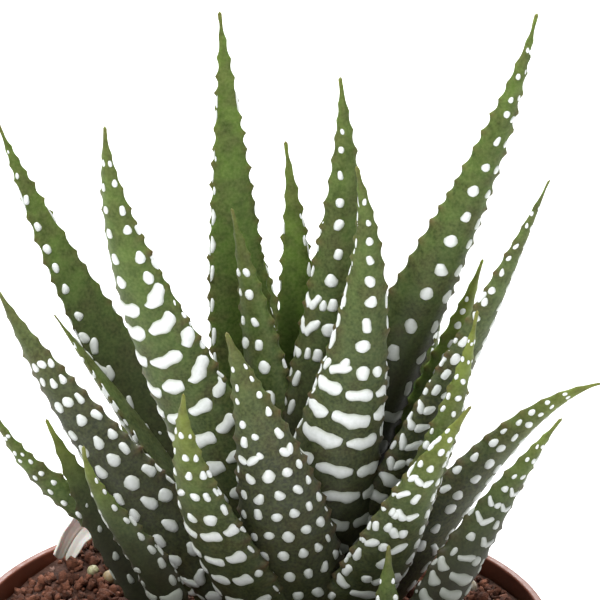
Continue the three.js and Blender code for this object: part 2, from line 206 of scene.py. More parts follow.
# %% [markdown]
# ## Lofts
# A leaf, a pearl, a crumb of soil and a dry fibre are all one kind of shape: closed rings,
# one after another along a length, with a point at each end. One function makes the faces of
# such a loft, and it does so for many like pieces at once, because each one only repeats the
# same pattern of corners further on in the list. The corners themselves come from formulas,
# worked out for a whole array at a time.

# %% Directions, bells and rings
def unit(vectors):
    """Each vector divided by its own length."""
    return vectors / np.linalg.norm(vectors, axis=-1, keepdims=True)


def bell(distance, width):
    """exp(-(distance / width)^2): 1 in the middle, and falling away evenly on both sides."""
    return np.exp(-((distance / width) ** 2))


def ring_quads(rings, sides):
    """Quads of closed rings one after another, as the numbers of their corners."""
    ring, side = np.mgrid[0 : rings - 1, 0:sides]
    near, beside = ring * sides + side, ring * sides + (side + 1) % sides
    return np.stack([near, beside, beside + sides, near + sides], -1).reshape(-1, 4)


# %% The loft
def loft(rings, first, last):
    """Points, quads and triangles of closed lofts. `rings` has the shape (pieces, rings,
    sides, 3), and `first` and `last`, (pieces, 3), are the end points. Going round a ring is
    counter-clockwise as seen from the last end."""
    pieces, count, sides, _ = rings.shape
    points = np.concatenate([rings.reshape(pieces, -1, 3), first[:, None], last[:, None]], 1)
    side = np.arange(sides)
    beside = (side + 1) % sides
    end = (count - 1) * sides
    start_fan = np.stack([beside, side, np.full(sides, count * sides)], -1)
    end_fan = np.stack([end + side, end + beside, np.full(sides, count * sides + 1)], -1)
    triangles = np.concatenate([start_fan, end_fan])
    offset = (np.arange(pieces) * points.shape[1])[:, None, None]
    return (
        points.reshape(-1, 3),
        (ring_quads(count, sides)[None] + offset).reshape(-1, 4),
        (triangles[None] + offset).reshape(-1, 3),
    )


# %% A mesh as a piece of the plant
def add_piece(name, parts, materials, attributes=()):
    """Makes a mesh object from parts given in millimetres. Each part is points, quads,
    triangles and the number of its material; `attributes` maps a name to one value a point."""
    points = np.concatenate([part[0] for part in parts]) * MM
    starts = np.cumsum([0] + [len(part[0]) for part in parts])
    quads = [part[1] + start for part, start in zip(parts, starts)]
    triangles = [part[2] + start for part, start in zip(parts, starts)]
    faces = [face for group in quads + triangles for face in group.tolist()]
    worn = [np.full(len(group), part[3]) for group, part in zip(quads, parts)]
    worn += [np.full(len(group), part[3]) for group, part in zip(triangles, parts)]
    mesh = bpy.data.meshes.new(name)
    mesh.from_pydata(points, [], faces)
    mesh.polygons.foreach_set("material_index", np.concatenate(worn).astype(np.int32))
    mesh.polygons.foreach_set("use_smooth", np.ones(len(faces), bool))
    for attribute, values in dict(attributes).items():
        layer = mesh.attributes.new(attribute, "FLOAT", "POINT")
        layer.data.foreach_set("value", np.asarray(values, np.float32))
    for material in materials:
        mesh.materials.append(material)
    mesh.update()
    made = bpy.data.objects.new(name, mesh)
    bpy.context.scene.collection.objects.link(made)
    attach(made, "root")
    return made


# %% [markdown]
# ## The leaves' form
# A haworthia leaf is a long wedge of water store: flat or slightly raised on its upper face,
# rounded like a boat underneath, and keeled towards its hard point. It could be sculpted, but
# a formula keeps all thirty-eight alike and in the places that the frame gives them. The
# centreline is a cubic curve from the stem to the tip. A flat section is carried along it and
# grows narrower by one taper curve.

# %% Rosettes and leaves, in millimetres
ROSETTES = {
    "main": dict(x=6, y=5, top=85, foot=74, inner=2.2, outer=8.5),
    "left_pup": dict(x=-13, y=-5, top=79, foot=74, inner=1.6, outer=5),
    "right_pup": dict(x=19, y=-13, top=78, foot=74, inner=1.4, outer=4.5),
}


def leaf(side, tier, tip, width, bow=(0, 0), sway=(0, 0), lift=(0, 0), face=None, **looks):
    """One leaf. side: compass angle of its root on the stem; tier: 0 for the youngest, high
    on the stem, to 1 for the oldest; bow, sway and lift push the curve's two handles away
    from the stem, sideways and up; face: where the underside of a twisted leaf faces instead.
    taper, where given, is how fast the half width grows from the tip. The rest tells how its
    skin is marked."""
    form = dict(tier=tier, tip=tip, width=width, bow=bow, sway=sway, lift=lift)
    sides = dict(side=side, face=side if face is None else face)
    return {**LOOKS, **form, **sides, **looks}


# columns: where the pearls stand across the underside, -1 at its left margin to 1 at its right.
# drawn: how much longer those on a margin are, and as much thinner up to THINNEST. dots and
# joins: distance from the tip, in mm, down to which they stand alone, and down to which they
# only join in short bars; below that they are bands. hooks: where the short bars stand, if not
# in the columns.
# first and pitch: distance of the first row from the tip, in mm, and how widely rows stand.
# inner: rows on the upper face: place across, first and last distance, pitch, half length, and
# the turn of slanted strokes, or 0 for dots.
# runs: shortest and longest mark in a band, in mm; edging: how often a margin carries one;
# stroke: shortest and longest half length of those.
# slant and bend: how a band climbs to the right, and how far its ends turn up, in mm.
# young, grey and blush: yellow-green, grey-brown and red-brown shares of the colour.
# shade: how much higher than on the others the painted shade near the stem reaches, in mm.
LOOKS = dict(
    columns=(-0.6, 0, 0.6),
    hooks=(),
    drawn=1.4,
    dots=20,
    joins=30,
    first=5.5,
    pitch=1,
    inner=(),
    runs=(2.5, 6),
    edging=0.45,
    stroke=(0.8, 1.5),
    slant=0,
    bend=1.6,
    young=0.15,
    grey=0.55,
    blush=0.5,
    pearl=1,
    shade=0,
)

# %% Every leaf, the youngest first
LEAVES = {
    "main": [
        leaf(30, 0, (9, 7, 116), 6),
        leaf(-160, 0, (4, 6, 112), 6),
        leaf(90, 0.05, (3.7, 12, 146), 8, sway=(0, -2), inner=[(0.9, 11, 60, 4.1, 0.9, 0)],
             grey=0, young=0.3),
        leaf(-112, 0.1, (-4, 6, 138), 9, sway=(1, 1.5), columns=(-0.55, 0.15), dots=40, joins=50,
             first=9, pitch=1.4, pearl=1.15),
        leaf(-85, 0.2, (11.5, 6, 158), 12, (2, 0), (0, 4.3), columns=(-0.22,), dots=31,
             joins=62, hooks=(-0.68, -0.12), pitch=1.25, first=8, edging=0.8,
             shade=12),
        leaf(100, 0.25, (-5.7, 14, 165), 10.5, sway=(7, 0.9), inner=[(-0.97, 22, 80, 4.3, 0.95, 0)],
             grey=0, young=0.2),
        leaf(-60, 0.3, (39.2, 2, 169), 10.6, (-5, 5), (-4.8, 1.2), face=-84, columns=(0, 0.66),
             dots=60, joins=60, pitch=1.42, pearl=1.05, grey=0.4, edging=0.2, runs=(3, 5), slant=-1.2,
             shade=22),
        leaf(-72, 0.4, (13.7, -6, 149), 16, (3, 4), (-2.4, 6.9), face=-88, taper=1.25,
             columns=(-0.88, 0.12), hooks=(-0.6, 0.16), drawn=2.2, dots=29, joins=33, pitch=1.08,
             runs=(3.6, 6.5), edging=0.95, stroke=(1.3, 2.2), bend=1.3, pearl=1.1, grey=0.8),
        leaf(-115, 0.45, (-21.6, -6, 155), 14.2, (2, 4), (3, -7.4), columns=(-0.36, 0.5),
             dots=22, joins=27, slant=1.3, runs=(2.6, 5.2), edging=0.8, stroke=(1, 1.8), pearl=1.1,
             pitch=1.25, first=6, bend=2.2, grey=0.45),
        leaf(140, 0.5, (-38, 22, 145), 9, (7, 5), (1.3, 1.3), face=118, grey=0.3, shade=16,
             inner=[(-0.62, 5, 33, 3.6, 0.8, 0), (-0.84, 34, 74, 5, 1.3, 0.45),
                    (-0.6, 35.5, 76, 5, 1.5, -0.4), (-0.2, 52, 80, 5, 0.8, 0)]),
        leaf(-45, 0.55, (41, -6, 147), 9.6, (-0.2, 0.6), (0.6, 0.6), columns=(-0.6, 0.3), dots=34,
             joins=50, grey=0.9),
        leaf(60, 0.5, (12, 26, 128), 11, (3, 3)),
        leaf(25, 0.55, (27, 20, 128), 11, (3, 3)),
        leaf(130, 0.6, (-19, 24, 122), 10, (4, 5)),
        leaf(10, 0.65, (32, 4, 131), 10, (1, 1), face=-60, columns=(-0.4,), dots=50, joins=60,
             young=0.9, grey=0),
        leaf(98, 0.65, (-3, 30, 133), 11, (3, 3)),
        leaf(-88, 0.7, (-4.6, -14, 127), 14, (4, 4), (2, 2), columns=(-0.5, 0.5),
             dots=15, joins=22, runs=(1.7, 2.5), grey=1.3, edging=0.3, bend=1, pearl=0.85),
        leaf(-140, 0.75, (-38, 6, 126), 10.5, (4.5, 5), (1.2, 0.8), face=-108,
             columns=(-0.85, -0.35, 0.15, 0.6), dots=45, joins=55, runs=(1.8, 3), first=13,
             pitch=1.2, pearl=1.05, grey=1.4, edging=0.3, shade=10),
        leaf(-55, 0.8, (30, -17, 117), 10.7, (4, 1.5), (0, -5), face=-68, columns=(-0.75, -0.1, 0.6),
             young=0.75, grey=0.8, dots=12, joins=36, runs=(2, 4), edging=0.8),
        leaf(165, 0.8, (-30.1, 16, 117.6), 8, (-2, -1), columns=(0.75,), dots=5, joins=60, pearl=1.1,
             grey=0.8),
        leaf(-118, 0.85, (-10.5, -22, 121), 11, (3, 4), (-1, -4), columns=(-0.6, 0.1, 0.7),
             dots=17, joins=22, young=0.8, runs=(1.7, 3.4), first=7, pitch=1.35, grey=0.8),
        leaf(70, 0.85, (20, 32, 108), 10, (3, 4)),
        leaf(-45, 0.85, (49, -4, 115), 11.8, (-3, -5), lift=(-4.3, 8), columns=(-0.7, -0.2, 0.35),
             dots=36, joins=56, young=0.6, runs=(1.5, 4), grey=1, pearl=0.85, pitch=0.95),
        leaf(140, 0.9, (-22, 30, 99), 10, (3, 4)),
        leaf(35, 0.9, (36, 20, 97), 10, (2, 4)),
        leaf(108, 0.95, (-2, 36, 103), 10, (3, 4)),
        leaf(-30, 0.9, (30.8, -12, 129.5), 7, (2, 4), face=-68, columns=(-0.75, 0.05, 0.8), dots=40,
             joins=50, young=0.9, grey=0.5, pitch=1.15),
        leaf(-175, 0.95, (-38.5, 2, 109), 7.2, (-4, 7), (0.8, 0.8), lift=(1.6, -5.5), face=-100,
             columns=(-0.3, 0.3), dots=26, joins=40, pearl=0.85, edging=0.2),
        leaf(-88, 1, (8, -30, 88), 10, (3, 4)),
    ],
    "left_pup": [
        leaf(120, 0.1, (-30.8, 1, 107.4), 6, sway=(1.1, 1.1), young=1, columns=(),
             inner=[(-0.4, 14, 40, 4, 0.8, 0), (0.4, 16, 40, 4.4, 0.9, 0)]),
        leaf(-110, 0.3, (-24.9, -14, 109.6), 6.1, (-1, 3.6), (8.8, -2.3), young=0.7,
             columns=(-0.8, 0.6), dots=18, joins=26, runs=(2.5, 4)),
        leaf(-150, 0.8, (-32, -22, 85), 8, (1, 2)),
        leaf(-75, 0.9, (-10, -33, 91), 8, (1, 2)),
    ],
    "right_pup": [
        leaf(-100, 0.95, (18.4, -18, 96), 5, (1, 1), columns=(-0.7, 0.7)),
        leaf(-30, 0.3, (43, -12, 113), 7.8, (-1.6, -2.4), face=-68, columns=(-0.3, 0.3), dots=12,
             joins=26, young=0.4, bend=2.4, pearl=0.9, runs=(2.5, 4)),
        leaf(35, 0.5, (27, -2, 88), 8, (1, 2), face=-60, columns=(), grey=1),
        leaf(-60, 0.8, (34, -28, 90), 7, (1, 2)),
        leaf(-130, 0.9, (13, -34, 88), 7, (1, 2)),
    ],
}
print("leaves:", {name: len(leaves) for name, leaves in LEAVES.items()})

# %% Centreline, width and section
TAPER = 1.65  # how fast the half width grows from the tip
ROUNDING = 6  # how suddenly the taper turns into parallel margins
ROOT_PINCH = 0.25  # share of the width lost at the root
ROOT_LENGTH = 0.08  # of the leaf, over which that happens
BELLY_TIP = 0.9  # depth of the underside as a share of the half width, at the tip
BELLY_BASE = 0.58  # and from the middle down
CROWNING = 0.14  # rise of the upper face
TIP_HALF_WIDTH = 0.16
KEEL = 0.3  # how much sharper than an ellipse the underside is near the tip
MARGIN_POWER = 12  # of the cosine round the section, which keeps a tooth's push to the margin


def compass(degrees):
    """The level direction at a compass angle, counter-clockwise from +X."""
    return np.array([math.cos(math.radians(degrees)), math.sin(math.radians(degrees)), 0])


def handles_of(rosette, leaf):
    """The four handles of the cubic centreline, and the direction that the underside faces.
    The middle two stand at a third and two thirds of the straight line, pushed aside."""
    away = compass(leaf["side"])
    across = np.array([-away[1], away[0], 0])
    radius = rosette["inner"] + (rosette["outer"] - rosette["inner"]) * leaf["tier"]
    root = np.array([rosette["x"], rosette["y"], 0]) + away * radius
    root[2] = rosette["top"] + (rosette["foot"] - rosette["top"]) * leaf["tier"]
    tip = np.array(leaf["tip"], float)
    pushed = [
        root + (tip - root) * (number + 1) / 3
        + away * leaf["bow"][number]
        + across * leaf["sway"][number]
        + np.array([0, 0, leaf["lift"][number]])
        for number in (0, 1)
    ]
    return np.array([root, *pushed, tip]), compass(leaf["face"])


def axes_at(handles, facing, share):
    """Centre, sideways and underside directions at a share of the length, for arrays of any
    shape: the cubic and its slope, with the underside squared off against the slope."""
    t = np.asarray(share)[..., None]
    u = 1 - t
    root, low, high, tip = handles
    centre = u**3 * root + 3 * u**2 * t * low + 3 * u * t**2 * high + t**3 * tip
    along = u**2 * (low - root) + 2 * u * t * (high - low) + t**2 * (tip - high)
    along = unit(along)
    under = unit(facing - along * (along @ facing)[..., None])
    return centre, np.cross(under, along), under


# %% Width, depth and skin
def half_width(leaf, share):
    """Half the width at a share of the length: it rises from the point in proportion, rounds
    off into near-parallel margins and is pinched in at the root."""
    rise = leaf.get("taper", TAPER) * (1 - share)
    taper = rise / (1 + rise**ROUNDING) ** (1 / ROUNDING)
    pinch = 1 - ROOT_PINCH * bell(share, ROOT_LENGTH)
    return np.maximum(TIP_HALF_WIDTH, leaf["width"] / 2 * taper * pinch)


def belly_depth(leaf, share):
    """Depth of the underside: a share of the half width that is larger towards the tip."""
    grown = BELLY_BASE + (BELLY_TIP - BELLY_BASE) * np.maximum(0, 2 * share - 1)
    return half_width(leaf, share) * grown


def skin_points(handles, facing, leaf, share, turn, tooth=0, proud=0):
    """Points of the leaf's skin. `turn` goes round the section: 0 at one margin, half pi at the
    keel, pi at the other margin, and on over the upper face. The underside is an ellipse drawn
    in towards a keel, the upper face a flat one. `tooth` pushes the margins out, and `proud`
    lifts a point off the skin along its normal."""
    half, belly = half_width(leaf, share), belly_depth(leaf, share)
    centre, across, under = axes_at(handles, facing, share)
    cosine, sine = np.cos(turn), np.sin(turn)
    keel = KEEL * np.maximum(0, 2 * share - 1)
    bulge = (1 - np.abs(cosine) ** (2 - keel)) ** 0.5
    deep = np.where(sine > 0, belly * bulge, CROWNING * half * sine)
    wide = half * cosine + tooth * np.sign(cosine) * np.abs(cosine) ** MARGIN_POWER
    depth = np.where(sine > 0, belly, CROWNING * half)
    normal = unit(across * (cosine / half)[..., None] + under * (sine / depth)[..., None])
    skin = centre + across * wide[..., None] + under * deep[..., None]
    return skin + normal * np.asarray(proud)[..., None]


# %% [markdown]
# ## Teeth along the margins
# The two margins are set with small hard points, two to three and a half millimetres apart, and
# between them the edge runs in shallow hollows. Modelling each as a cone would leave them
# standing on the edge. Here the margin itself is pushed out by a curve that peaks sharply at
# each tooth.

# %% Teeth
TOOTH_PITCH = 2.8
TOOTH_HEIGHT = 0.72
UNEVEN_STEPS = 0.75, 1.3  # shortest and longest step, in pitches
UNEVEN_HEIGHTS = 0.55, 1  # lowest and highest tooth, in heights
MOST_TEETH = 80  # on one margin, enough for the longest leaf
HOLLOW_POWER = 1.9  # how quickly the push falls away beside a tooth
SMALL_TEETH = 12, 0.25  # distance from the tip within which teeth are smaller, and the least share
STATION_STEP = 0.4  # between the leaf's rings
SECTION_SIDES = 36


def toothed(distance, generator):
    """Push of one margin at each distance from the tip: teeth stand at uneven steps, and
    between two of them the push falls away as a power of the distance to the middle."""
    steps = generator.uniform(*UNEVEN_STEPS, MOST_TEETH) * TOOTH_PITCH
    places = np.cumsum(steps) - steps[0] / 2
    heights = generator.uniform(*UNEVEN_HEIGHTS, MOST_TEETH) * TOOTH_HEIGHT
    phase = np.interp(distance, places, np.arange(MOST_TEETH))
    between = np.abs(2 * (phase % 1) - 1) ** HOLLOW_POWER
    grown = np.clip(distance / SMALL_TEETH[0], SMALL_TEETH[1], 1)
    return between * np.interp(distance, places, heights) * grown


# %% [markdown]
# ## Pearls and bands
# The white marks are raised, opaque and smooth as porcelain. Near the tip they stand one by
# one, egg-shaped, in lines along the leaf. Further down neighbours meet, first in short bars
# and hooks, then in bands that cross the underside and turn up at its sides. Each one is half
# of a blunt ellipsoid, laid on the skin so that it follows the leaf's curve, with its rim just
# under the surface. Where two overlap they join as the real ones do.

# %% Marks laid out on one leaf
ROW_PITCH = (2.3, 0.24)  # between rows: a fixed part and a share of the half width
BARE_ROOT = 7  # the root has none
DOT_LONG = 0.32, 0.19, 1.2  # half length: a fixed part, a share of the half width, the most
DOT_WIDE = 0.6, 0.85  # least and most half width, as a share of the half length
NEAR_MARGIN = 0.8  # from this place across on, a dot is drawn out
THINNEST = 1.4
UNEVEN = 0.85, 1.15  # least and most of a size, as a share of it
UNEVEN_PITCH = 0.9, 1.1
JOINED = 0.5  # how often a column's marks are joined in a hook
HOOK_REACH, HOOK_TURN = (0.9, 1.4), (0.5, 1.1)  # of its bars: half lengths in dots, and radians
HOOK_WIDTH, HOOK_DOT = 0.62, 0.8  # of its bars and of a dot instead, as a share of the dots
HOOK_WHOLE = 0.75  # how often it has a bar on a side, and not a dot
STRAY, STRAY_PLACE, STRAY_SIZE = 0.4, 0.35, 0.75  # how often a dot strays beside a column, and how
BAND_START, BAND_END = (-0.98, -0.8), 0.98  # places across
LAST_START = 0.85  # no further mark of a band starts past this
BAND_GAP = 0.35  # between two marks of one band
SHORTEST_BAND = 1.15  # half length under which a mark of a band is a dot
EDGE_PLACE, EDGE_WIDTH = 0.95, 0.55  # of the strokes along the margins
EDGE_FROM = 0.6  # where they begin, as a share of the distance down to which dots stand alone
STROKE_WIDTH = 0.68  # of the upper face's slanted strokes


# %% The rows of one leaf, from its tip down
def lay_marks(leaf, length, generator):
    """The leaf's marks as two arrays, dots and bands. A row is: face, distance from the tip,
    place across, half length, half width, turn (0 along the leaf, half pi across), bend."""
    dots, bands = [], []

    def dot(face, distance, place, size):
        drawn = leaf["drawn"] if abs(place) > NEAR_MARGIN else 1
        long = size * generator.uniform(*UNEVEN) * drawn
        wide = size * generator.uniform(*DOT_WIDE) / min(drawn, THINNEST)
        dots.append([face, distance, place, long, wide, generator.normal(0, 0.2), 0])

    def hook(distance, place, size, girth):
        """Two short bars that meet at their lower ends, or one of them and a dot."""
        for side in (-1, 1):
            reach = size * generator.uniform(*HOOK_REACH)
            turn = side * generator.uniform(*HOOK_TURN)
            aside = place + side * reach * math.sin(abs(turn)) / girth * 2
            if generator.random() < HOOK_WHOLE:
                bands.append([0, distance, aside, reach, size * HOOK_WIDTH, -turn, 0])
            else:
                dot(0, distance, aside, size * HOOK_DOT)

    def band_row(distance, girth):
        """Marks that cross the underside end to end, on a curve that turns up at the sides."""
        edge = generator.uniform(*BAND_START)
        while edge < LAST_START:
            span = min(generator.uniform(*leaf["runs"]) / girth * 2, BAND_END - edge)
            reach = span * girth / 4 - 0.1
            middle = edge + span / 2
            climb = leaf["slant"] + 2 * leaf["bend"] * middle
            drop = distance - leaf["slant"] * middle - leaf["bend"] * middle**2
            drop += generator.normal(0, 0.2)
            wide = generator.uniform(*UNEVEN) * leaf["pearl"]
            if reach < SHORTEST_BAND:
                dot(0, drop, middle, max(0.6, reach))
            else:
                turn = math.pi / 2 + climb * 2 / girth + generator.normal(0, 0.08)
                arch = leaf["bend"] * (2 * reach / girth) ** 2
                bands.append([0, drop, middle, reach, wide, turn, arch])
            edge += span + BAND_GAP / girth

    distance = leaf["first"]
    while distance < length - BARE_ROOT:
        share = 1 - distance / length
        half = float(half_width(leaf, share))
        girth = math.pi / 2 * (half + float(belly_depth(leaf, share)))
        size = min(DOT_LONG[2], DOT_LONG[0] + DOT_LONG[1] * half) * leaf["pearl"]
        if distance < leaf["dots"]:
            for place in leaf["columns"]:
                jitter = generator.normal(0, 0.05)
                dot(0, distance + generator.normal(0, 0.35), place + jitter, size)
        elif distance < leaf["joins"]:
            for place in leaf["hooks"] or leaf["columns"]:
                if generator.random() < JOINED:
                    hook(distance, place, size, girth)
                else:
                    dot(0, distance, place, size)
                if generator.random() < STRAY:
                    stray = distance + generator.normal(0, 0.5)
                    dot(0, stray, place + STRAY_PLACE, size * STRAY_SIZE)
        elif leaf["columns"]:
            band_row(distance, girth)
        if distance > leaf["dots"] * EDGE_FROM:
            for side in (-1, 1):
                if generator.random() < leaf["edging"]:
                    long = generator.uniform(*leaf["stroke"])
                    down = distance + generator.normal(0, 0.7)
                    turn = generator.normal(0, 0.2)
                    bands.append([0, down, side * EDGE_PLACE, long, EDGE_WIDTH, turn, 0])
        pitch = (ROW_PITCH[0] + ROW_PITCH[1] * half) * leaf["pitch"]
        distance += pitch * generator.uniform(*UNEVEN_PITCH)

    for place, start, end, pitch, size, tilt in leaf["inner"]:
        for step in np.arange(start, min(end, length - BARE_ROOT), pitch):
            down = step + generator.normal(0, 0.4)
            if tilt:
                long = size * generator.uniform(0.7, 1.2)
                bands.append([1, down, place, long, STROKE_WIDTH, tilt, 0])
            else:
                dot(1, down, place, size * min(1, 0.5 + (step - start) / 20))
    return np.array(dots).reshape(-1, 7), np.array(bands).reshape(-1, 7)


# %% A mark as a closed cap on the skin
PEARL_HEIGHT = 0.42
FULL_WIDTH = 0.6  # half width from which a mark has that height
SINK = 0.12  # how far the rim lies under the skin
EGG = 0.15  # how much wider one end is
LUMPS = 0.14  # height of the two sines
LUMP_WAVE, WANDER_WAVE = (2.9, 31), (1.9, 17)  # their radians a mm along the mark and the leaf
OVERHANG = 0.35  # how far round the margin a mark may reach, in radians
UPPER_LIMIT = 0.98  # how far across the upper face
DOT_SHAPE, BAND_SHAPE = (5, 0.8), (11, 0.5)  # rings, and how blunt the ends are, less being more
MARK_SIDES = 8


def mark_loft(handles, facing, leaf, arc, marks, rings, blunt):
    """Closed caps for many marks at once. A cap is half of an ellipsoid with its poles at the
    ends of its length: going from pole to pole by the angle a, its half width is the cosine of
    a to the power `blunt`, and going over it by the angle b, it is wide times sin b and high
    times cos b. Two sines make a long mark lumpy and let it wander. Each point is then carried
    to the skin at its distance and its turn."""
    a = np.linspace(-math.pi / 2, math.pi / 2, rings + 2)[None, :, None]
    b = np.linspace(math.pi / 2, -math.pi / 2, MARK_SIDES)[None, None, :]
    face, distance, place, long, wide, turn, bend = marks.T[:, :, None, None]
    girth = np.maximum(np.cos(a), 0) ** blunt
    ahead = long * np.sin(a) + 0 * b
    lumpy, wandering = (
        LUMPS * np.sin(turns * ahead + start * distance) for turns, start in (LUMP_WAVE, WANDER_WAVE)
    )
    egg = 1 + EGG * np.sin(a) + lumpy
    wander = wandering * np.minimum(1, long / 3)
    aside = wide * girth * egg * np.sin(b) + wander
    high = PEARL_HEIGHT * np.minimum(1, wide / FULL_WIDTH) * girth * np.cos(b) - SINK
    down = ahead * np.cos(turn) - aside * np.sin(turn) - bend * (ahead / long) ** 2
    right = ahead * np.sin(turn) + aside * np.cos(turn)
    share = np.interp(distance + down, arc[0], arc[1])
    half, belly = half_width(leaf, share), belly_depth(leaf, share)
    on_under = (place + 1) * math.pi / 2 + right / ((half + belly) / 2)
    across = np.clip(place + right / half, -UPPER_LIMIT, UPPER_LIMIT)
    on_upper = 2 * math.pi - np.arccos(across)
    around = np.where(face > 0, on_upper, np.clip(on_under, -OVERHANG, math.pi + OVERHANG))
    points = skin_points(handles, facing, leaf, share, around, proud=high)
    # how near the rim a point lies, for the painted shade where a mark meets the skin
    rim = np.broadcast_to(np.abs(np.sin(b)) ** 3 + 0 * high, high.shape)
    mesh = loft(points[:, 1:-1], points[:, 0].mean(1), points[:, -1].mean(1))
    edge = np.concatenate([rim[:, 1:-1].reshape(len(marks), -1), np.ones((len(marks), 2))], 1)
    return mesh, edge.reshape(-1)


# %% [markdown]
# ## Leaf skin and pearl
# Leaf skin is a waxy cuticle over cells that hold green water: it is satin, not glossy, mottled
# at the scale of a millimetre and finely grained below that. Low in the rosette, near the stem,
# the leaves and their marks are darkened by painted shade, and young leaves and points are
# yellow-green, with a red-brown tip where the sun reaches. The shader reads those from numbers
# worked out on the leaf itself.

# %% Leaf skin: a waxy cuticle, satin with a fine grain
leaf_skin, tree, shader = new_material("leaf_cuticle", 0.55, 1.42)
along = add_node(tree, "Attribute", attribute_name="along").outputs["Fac"]
# the skin is darker towards the root and greener up the leaf: partly its own colour, partly painted
# shade
upper = add_node(tree, "MapRange", {"Value": along, "From Min": 0.05, "From Max": 0.75})
colour = layered(
    tree, 0x30401A,
    (upper.outputs["Result"], 0x557226),
    ("grey", 0x3D4236),
    (patches(tree, 4, 3, 0.47, 0.7, 0.6), 0x4A402B),  # worn places
    ("young", 0x87943A),
    (patches(tree, 2.2, 3, 0.35, 0.7), 0xB8B89A, "MULTIPLY"),  # mottling
    (patches(tree, 0.45, 2, 0.3, 0.7, 0.175), 0xA3AF6A),  # grain
    ("blush", 0x6E4A34),
    # deep: painted shade low in the rosette, where the leaves shade one another
    ("deep", 0x1D1A10),
)
feed(tree, shader, {
    "Base Color": colour, "Normal": bumps(tree, 0.5, 2, 0.35, 0.1), "Specular IOR Level": 0.35,
    "Subsurface Weight": 0.12, "Subsurface Scale": 1.2 * MM, "Subsurface Radius": (0.5, 1, 0.25),
})

# %% Pearl: the white of the raised marks, opaque and smooth, with painted shade at the rim where it meets the skin
pearl, tree, shader = new_material("leaf_pearl", 0.42, 1.5)
speckle = patches(tree, 0.6, 2, 0.35, 0.75)
# deep: painted shade on the marks low in the rosette
# rim: painted shade where a mark meets the skin
colour = layered(tree, 0xFBFFFF, (speckle, 0xEBF0EE), ("rim", 0xA9B09B), ("deep", 0x6C7064))
feed(tree, shader, {"Base Color": colour})

# %% One leaf
FINE_STEPS = 400  # by which the centreline's length is measured
SHADE_HEIGHTS = 86, 116  # painted shade darkens the leaves low in the rosette, fading out between these heights
SHADE = 1.15, 0.1, 0.85  # how dark the painted shade is: of the youngest leaf, less by its tier, the least, the most
YOUNG_FROM, YOUNG_MOST = 0.6, 0.9  # share of the length where yellow-green sets in, and its most
GREY_FROM, GREY_LOST = 0.3, 0.5  # share of the length where grey fades, and what the tip loses
BLUSH_LENGTH = 2.2  # of the tip's red-brown
TOOTH_BLUSH = 0.7  # of a tooth's point


def smooth_step(value, low, high):
    """0 below low, 1 above high, and an even S between them."""
    share = np.clip((value - low) / (high - low), 0, 1)
    return share * share * (3 - 2 * share)


def build_leaf(name, rosette, leaf, generator):
    """Blade and marks of one leaf as one object. Returns it."""
    handles, facing = handles_of(rosette, leaf)
    fine = np.linspace(0, 1, FINE_STEPS)
    centre = axes_at(handles, facing, fine)[0]
    steps = np.linalg.norm(np.diff(centre, axis=0), axis=1)
    run = np.concatenate([[0], np.cumsum(steps)])
    length = run[-1]
    arc = (length - run)[::-1], fine[::-1]  # distance from the tip, and its share

    stations = int(length / STATION_STEP)
    distance = np.linspace(length, 0, stations, endpoint=False)[:, None]
    share = np.interp(distance, *arc)
    turn = np.arange(SECTION_SIDES)[None] * 2 * math.pi / SECTION_SIDES
    teeth = [toothed(distance, generator) for _ in (0, 1)]
    tooth = np.where(np.cos(turn) > 0, teeth[0], teeth[1])
    share_all = share + 0 * turn
    turn_all = turn + 0 * share
    points = skin_points(handles, facing, leaf, share_all, turn_all, tooth)
    blade = loft(points[None], handles[None, 0], handles[None, 3])

    dots, bands = lay_marks(leaf, length, generator)
    parts = [(*blade, 0)]
    rims = [np.zeros(len(blade[0]))]
    for marks, shape in ((dots, DOT_SHAPE), (bands, BAND_SHAPE)):
        if len(marks):
            mesh, rim = mark_loft(handles, facing, leaf, arc, marks, *shape)
            parts.append((*mesh, 1))
            rims.append(rim)

    every = np.concatenate([part[0] for part in parts])
    chord = handles[3] - handles[0]
    along_all = np.clip((every - handles[0]) @ chord / (chord @ chord), 0, 1)
    margin = np.abs(np.cos(turn_all)) ** 8
    tooth_tip = np.clip(tooth / TOOTH_HEIGHT, 0, 1) ** 1.5 * margin
    blush = np.zeros(len(every))
    blush[: tooth_tip.size] = tooth_tip.reshape(-1) * TOOTH_BLUSH
    tip_near = np.exp(-(1 - along_all) * length / BLUSH_LENGTH) * leaf["blush"]
    # painted shade: the leaves darken low in the rosette, where they shade one another
    painted_shade = 1 - smooth_step(every[:, 2] - leaf["shade"], *SHADE_HEIGHTS)
    darkest, least, most = SHADE
    attributes = {
        "along": along_all,
        "young": leaf["young"] * smooth_step(along_all, YOUNG_FROM, 1) * YOUNG_MOST,
        "grey": leaf["grey"] * (1 - GREY_LOST * smooth_step(along_all, GREY_FROM, 1)),
        "blush": np.clip(blush + tip_near, 0, 1),
        "deep": painted_shade * min(most, max(least, darkest - leaf["tier"])),
        "rim": np.concatenate(rims),
    }
    made = add_piece(name + "_skin", parts, [leaf_skin, pearl], attributes)
    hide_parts(name)
    return made


# %% Build every leaf
SEED = 7
leaf_faces = 0
for rosette_name, rosette in ROSETTES.items():
    for number, one in enumerate(LEAVES[rosette_name], 1):
        node = f"{rosette_name}_leaf_{number:02d}"
        generator = np.random.default_rng([SEED, number, len(rosette_name)])
        made = build_leaf(node, rosette, one, generator)
        leaf_faces += len(made.data.polygons)
print("faces on the leaves:", leaf_faces)

# %% [markdown]
# ## The pot
# The pot is one thin injection moulding: a tapered body with a step, an upright collar and a
# turned-out lip to lift it by. The wall is the same all round, so it is turned from a profile
# whose corners are rounded off. The floor has six drain holes, and is made of six equal wedges,
# each stretched between its hole and its edge. The wedges' points lie on those of the wall, so
# the whole closes into one skin.

